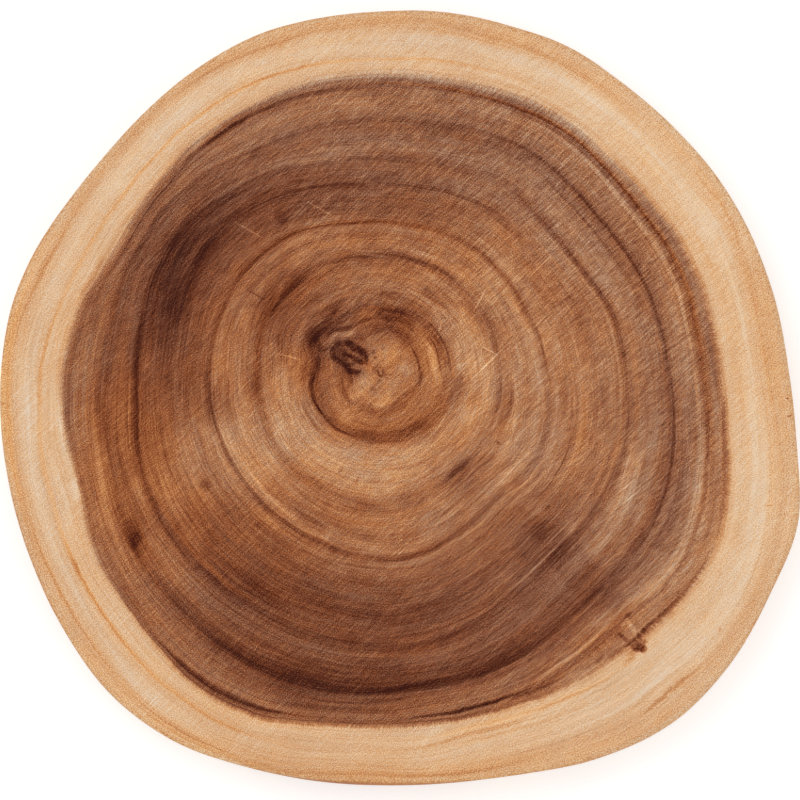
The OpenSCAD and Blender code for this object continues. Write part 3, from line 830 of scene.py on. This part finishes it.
def ring_spots(n, ring, bearing, rows):
    """The same in the plane of bearing and growth coordinate, for rows written as in STREAKS."""
    past = n.math("WRAP", bearing, 180, -180)
    flat, wrapped = [], []
    for middle, width, heading, run, amount in rows:
        if 90 <= heading <= 270:
            flat.append((heading, middle, run, width, 0, amount))
        else:
            wrapped.append((heading - 360 if heading > 270 else heading, middle, run, width, 0, amount))
    return n.math("ADD", spots(n, bearing, ring, flat), spots(n, past, ring, wrapped))


def trunk_group():
    """The wood of the whole trunk as a function of place: its colour, roughness and fine relief."""
    tree = bpy.data.node_groups.new("trunk wood", "ShaderNodeTree")
    for name, kind in (("Color", "NodeSocketColor"), ("Roughness", "NodeSocketFloat"), ("Height", "NodeSocketFloat")):
        tree.interface.new_socket(name, in_out="OUTPUT", socket_type=kind)
    n = Nodes(tree)
    coordinates = n.add("ShaderNodeTexCoord").outputs["Object"]
    pith = (float(PITH[0]), float(PITH[1]), 0)
    place = n.turned(coordinates, 0, (MM, MM, MM), pith)
    # the lines waver a little, and less so up the trunk
    along = n.turned(coordinates, 0, (MM, MM, MM / 0.15), pith)
    grain = n.turned(coordinates, 0, (MM, MM, MM / 0.06), pith)
    waver = n.vector("MULTIPLY", n.noise_vector(along, 0.07, 2), (1.6, 1.6, 0))
    shiver = n.vector("MULTIPLY", n.noise_vector(along, 0.4, 2), (0.24, 0.24, 0))
    wavered = n.vector("ADD", n.vector("ADD", place, waver), shiver)
    x, y, _ = n.split(wavered)
    flat = n.combine(x, y, 0)
    distance = n.vector("LENGTH", flat)
    heading = n.turned(n.vector("NORMALIZE", flat), 0, (1, 1, 1))
    turn = n.math("MULTIPLY", n.math("ARCTAN2", y, x), 180 / math.pi)
    bearing = n.math("WRAP", turn, 360, 0)
    ring = growth_coordinate(n, distance, bearing)
    # fibres blur the line between heartwood and sapwood
    rays = n.noise(heading, 210.0, 3, 0.6, w=n.math("MULTIPLY", distance, 0.0009))
    fringe = n.remap(ring, 134.0, 139.0, 0.12, 1.0)
    fray = n.math("MULTIPLY", n.remap(rays, 0.25, 0.75, -0.8, 0.8, clamp=False), fringe)
    frayed = n.math("ADD", ring, fray)
    splayed = n.math("MULTIPLY_ADD", fray, 0.4, bearing)

    def lines(run, close, detail=1, start=0.0):
        """Noise in long strokes along the rings: run strokes in a radian, close ones in a millimetre."""
        across = n.math("MULTIPLY_ADD", ring, close / run, start)
        return n.noise(heading, run, detail, 0.6, w=across)

    def creases(run, close, start, half, amount):
        """Thin crisp lines where that noise is near its middle."""
        off = n.math("ABSOLUTE", n.math("SUBTRACT", lines(run, close, 1, start), 0.5))
        return n.remap(off, 0.0, half, amount, 0.0, "SMOOTHSTEP")

    shade = n.curve(frayed, SHADES, 170, 255)
    grained = n.remap(lines(5.0, 0.9, 2, 40.0), 0.3, 0.7, 0.78, 1.22, clamp=False)
    shade = n.math("MULTIPLY_ADD", ring_spots(n, frayed, splayed, STREAKS), grained, shade)
    near_x, near_y, z = n.split(n.vector("ADD", place, shiver))
    shade = n.math("ADD", shade, spots(n, near_x, near_y, KNOT_MARKS + MARKS))
    # fine years, pores and the marks of the sander
    stipple = n.noise(grain, 2.5, 1, 0.6)
    hatch = n.noise(n.turned(place, 41, (5.0, 0.56, 3.0)), 1.0, 1, 0.5)
    scratch = n.remap(n.noise(n.turned(place, 46, (20.0, 0.3, 3.0)), 1.0, 1, 0.4), 0.58, 0.72)
    stroke = n.math("ABSOLUTE", n.math("SUBTRACT", n.noise(n.turned(place, 49, (6.0, 1.1, 3.0)), 1.0, 1), 0.5))
    cross = n.noise(n.turned(place, 140, (11.0, 0.5, 3.0)), 1.0, 1, 0.5)
    cloud = n.noise(along, 0.06, 3, 0.6)
    cloth = n.remap(n.noise(along, 0.045, 1), 0.38, 0.62, 0.25, 1.0)
    rim = n.remap(ring, 158.0, 166.0, 1.0, 1.3)
    calm = n.math("MULTIPLY", n.remap(ring, 138.0, 143.0, 1.0, 0.6), n.remap(ring, 4.0, 45.0, 0.6, 1.0))
    years = lines(2.4, 1.1)
    fine = n.math("ADD", creases(1.1, 0.24, 7.0, 0.07, -9.0), creases(1.3, 0.19, 23.0, 0.05, 7.0))
    for marks, amount in ((lines(1.4, 0.5), 3.0), (years, 4.0), (lines(4.0, 2.0), 19.0), (cloud, 6.0)):
        fine = n.math("ADD", fine, n.remap(marks, 0.25, 0.75, -amount, amount, clamp=False))
    upper = n.remap(n.math("ADD", near_x, near_y), -20.0, 150.0)
    calm = n.math("MULTIPLY", calm, n.remap(upper, 0.0, 1.0, 1.0, 0.6))
    sheer = n.math("MULTIPLY", fine, calm)
    speck = n.math("MULTIPLY", n.remap(stipple, 0.25, 0.75, -62.0, 62.0, clamp=False), rim)
    bold = n.remap(upper, 0.0, 1.0, 15.0, 30.0)
    bold = n.math("MULTIPLY", bold, n.remap(ring, 138.0, 143.0, 1.0, 0.5))
    speck = n.math("MULTIPLY_ADD", n.remap(hatch, 0.25, 0.75, -1.0, 1.0, clamp=False), bold, speck)
    for marks, amount in ((rays, 3.0), (cross, 4.0)):
        speck = n.math("ADD", speck, n.remap(marks, 0.25, 0.75, -amount, amount, clamp=False))
    lit = n.math("MULTIPLY", scratch, cloth)
    speck = n.math("MULTIPLY_ADD", lit, 32.0, speck)
    drawn = n.math("MULTIPLY", n.remap(stroke, 0.0, 0.1, 1.0, 0.0, "SMOOTHSTEP"), cloth)
    speck = n.math("MULTIPLY_ADD", drawn, 9.0, speck)
    speck = n.math("SUBTRACT", speck, 3.2)
    # the wall is long grain, with fewer specks and fine upright lines; it is also painted a little darker, as painted
    # shade
    wall = n.math("MULTIPLY", n.remap(z, 39.0, 33.0), n.remap(z, 1.0, 7.0))
    speck = n.math("MULTIPLY", speck, n.remap(wall, 0.0, 1.0, 1.0, 0.25))
    speck = n.math("MULTIPLY_ADD", wall, n.remap(rays, 0.25, 0.75, -12.0, 12.0, clamp=False), speck)
    # painted shade: the wall is made 10 darker
    shade = n.math("MULTIPLY_ADD", wall, -10.0, shade)
    sheer = n.math("MULTIPLY_ADD", speck, n.remap(ring, 138.0, 143.0, 1.0, 0.8), sheer)
    pale = n.remap(ring, 140.0, 144.0)
    orange = n.math("MULTIPLY", n.remap(n.math("MULTIPLY_ADD", sheer, 0.3, shade), 212.0, 160.0, -0.3, 1.1), pale)
    shade = n.math("ADD", shade, sheer)
    # redder and greyer wood; the darker lines of the sapwood are more orange
    vary = n.remap(lines(2.0, 0.12, 2, 11.0), 0.25, 0.75, -0.9, 0.9, clamp=False)
    vary = n.math("ADD", vary, n.remap(years, 0.25, 0.75, 0.9, -0.9, clamp=False))
    fleck = n.remap(n.noise(grain, 1.3, 2), 0.25, 0.75, 1.8, -1.8, clamp=False)
    blush = n.remap(n.noise(along, 0.11, 2), 0.25, 0.75, -0.6, 0.6, clamp=False)
    tint = n.math("ADD", n.math("ADD", vary, fleck), n.math("MULTIPLY_ADD", lit, -0.8, blush))
    tint = n.math("MULTIPLY", tint, n.remap(ring, 139.0, 143.0, 1.0, 0.4))
    tint = n.math("ADD", tint, ring_spots(n, ring, bearing, TINTS))
    tint = n.math("ADD", tint, orange)
    tint = n.math("ADD", tint, n.remap(ring, 161.0, 170.0, 0.0, 0.5))
    ramp = n.add("ShaderNodeValToRGB")
    n.put(ramp.inputs[0], n.math("DIVIDE", shade, 255))
    stops = ramp.color_ramp.elements
    while len(stops) < len(LIGHTNESS):
        stops.new(0.5)
    for stop, (level, colour) in zip(stops, LIGHTNESS):
        stop.position = level / 255
        stop.color = [max(c - SHEEN, 0.002) for c in linear(colour)[:3]] + [1]
    red = n.remap(tint, -2.0, 2.0, 0.84, 1.16)
    blue = n.remap(tint, -2.0, 2.0, 1.28, 0.72)
    colour = n.vector("MULTIPLY", ramp.outputs[0], n.combine(red, 1.0, blue))
    roughness = n.remap(stipple, 0.2, 0.8, 0.46, 0.62)
    height = n.math("ADD", n.math("MULTIPLY", stipple, 0.03), n.math("MULTIPLY", hatch, 0.02))
    out = n.add("NodeGroupOutput")
    n.put(out.inputs["Color"], colour)
    n.put(out.inputs["Roughness"], roughness)
    n.put(out.inputs["Height"], height)
    return tree


def wood_material(name, group):
    material = bpy.data.materials.new(name)
    material.use_nodes = True
    n = Nodes(material.node_tree)
    shader = material.node_tree.nodes["Principled BSDF"]
    wood = n.add("ShaderNodeGroup", node_tree=group)
    n.put(shader.inputs["Base Color"], wood.outputs["Color"])
    n.put(shader.inputs["Roughness"], wood.outputs["Roughness"])
    shader.inputs["Specular IOR Level"].default_value = 0.06
    bump = n.add("ShaderNodeBump")
    bump.inputs["Distance"].default_value = MM
    bump.inputs["Strength"].default_value = 0.6
    n.put(bump.inputs["Height"], wood.outputs["Height"])
    n.put(shader.inputs["Normal"], bump.outputs[0])
    return material


FRAME_W = 0.340  # width of the view at the top of the wall
LENS = 1000.0
SENSOR = 36.0
VIEW_MIDDLE = (0.0, -0.0006)


def camera():
    data = bpy.data.cameras.new("camera")
    data.lens, data.sensor_width = LENS, SENSOR
    data.clip_end = 30
    eye = bpy.data.objects.new("camera", data)
    eye.location = (*VIEW_MIDDLE, SHOULDER + FRAME_W * LENS / SENSOR)
    bpy.context.scene.collection.objects.link(eye)
    bpy.context.scene.camera = eye


def area_lamp(name, place, size, power):
    data = bpy.data.lights.new(name, "AREA")
    data.shape, data.size, data.energy = "DISK", size, power
    lamp = bpy.data.objects.new(name, data)
    lamp.location = place
    direction = -lamp.location
    lamp.rotation_euler = direction.to_track_quat("-Z", "Y").to_euler()
    bpy.context.scene.collection.objects.link(lamp)


def studio():
    world = bpy.data.worlds.new("studio")
    bpy.context.scene.world = world
    world.use_nodes = True
    n = Nodes(world.node_tree)
    background = world.node_tree.nodes["Background"]
    path = n.add("ShaderNodeLightPath")
    seen = n.math("MAXIMUM", path.outputs["Is Camera Ray"], path.outputs["Is Glossy Ray"])
    n.put(background.inputs["Strength"], n.remap(seen, 0.0, 1.0, 0.76, 1.0))
    background.inputs["Color"].default_value = (1, 1, 1, 1)
    area_lamp("key", (-0.6, 0.6, 2.4), 1.4, 11.5)
    area_lamp("fill", (1.1, -0.8, 2.0), 1.6, 3.6)


def floor():
    size = 12
    mesh = bpy.data.meshes.new("floor")
    mesh.from_pydata([(-size, -size, 0), (size, -size, 0), (size, size, 0), (-size, size, 0)], [], [(0, 1, 2, 3)])
    piece = bpy.data.objects.new("floor", mesh)
    piece.location.z = -0.0002
    bpy.context.scene.collection.objects.link(piece)
    material = bpy.data.materials.new("floor")
    material.use_nodes = True
    n = Nodes(material.node_tree)
    shader = material.node_tree.nodes["Principled BSDF"]
    shader.inputs["Base Color"].default_value = (0.84, 0.86, 0.875, 1)
    shader.inputs["Roughness"].default_value = 0.9
    shader.inputs["Specular IOR Level"].default_value = 0.0
    path = n.add("ShaderNodeLightPath")
    shader.inputs["Emission Color"].default_value = (1, 1, 1, 1)
    n.put(shader.inputs["Emission Strength"], n.math("MULTIPLY", path.outputs["Is Camera Ray"], 0.39))
    mesh.materials.append(material)


camera()
studio()
floor()
trunk = trunk_group()
sapwood = sapwood_piece()
sapwood_map(sapwood)
heartwood = heartwood_piece()
heartwood_map(heartwood)
for piece, node in (
    (sapwood, "sapwood"),
    (heartwood, "heartwood"),
    (knot_piece(), "knot"),
    (pith_piece(), "pith"),
):
    piece.data.materials.append(wood_material(node, trunk))
    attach(piece, "root")
    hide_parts(node)

bpy.context.scene.view_settings.view_transform = "Standard"
